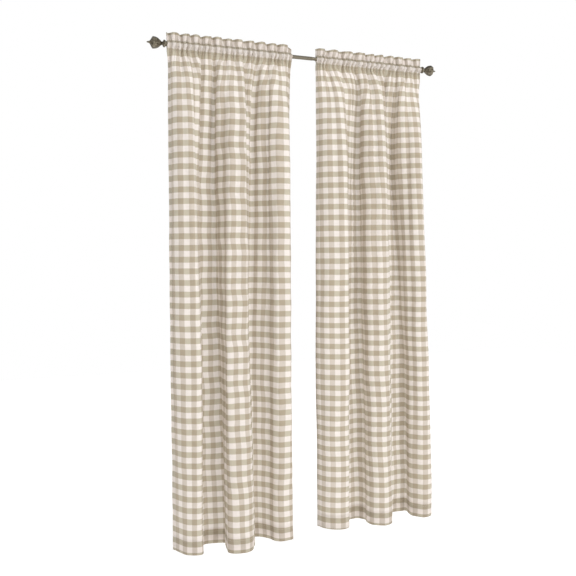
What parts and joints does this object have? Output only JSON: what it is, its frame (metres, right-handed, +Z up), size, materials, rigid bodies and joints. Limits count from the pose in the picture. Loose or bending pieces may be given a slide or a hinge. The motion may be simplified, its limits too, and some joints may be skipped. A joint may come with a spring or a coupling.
{
  "type": "pair of rod pocket curtains on a curtain rod",
  "caption": "Gingham curtain panels gathered by rod pockets on an adjustable metal rod with turned bud finials.",
  "frame": {"origin": "on the rod's axis, halfway between the two finial tips", "axes": "+X along the rod to the right as seen from the front, -Y towards the viewer, +Z up; the cloth hangs to -Z"},
  "size_m": [1.369, 0.1994, 2.1384],
  "materials": {
    "gingham_cloth": "plain woven cotton blend, white and taupe gingham check",
    "antique_metal": "dark antique pewter, satin, rubbed lighter on raised edges"
  },
  "bodies": {
    "root": {"curtain_left": "gingham_cloth", "curtain_right": "gingham_cloth", "rod_outer_tube": "antique_metal", "rod_inner_tube": "antique_metal", "finial_left": "antique_metal", "finial_right": "antique_metal"}
  },
  "joints": []
}
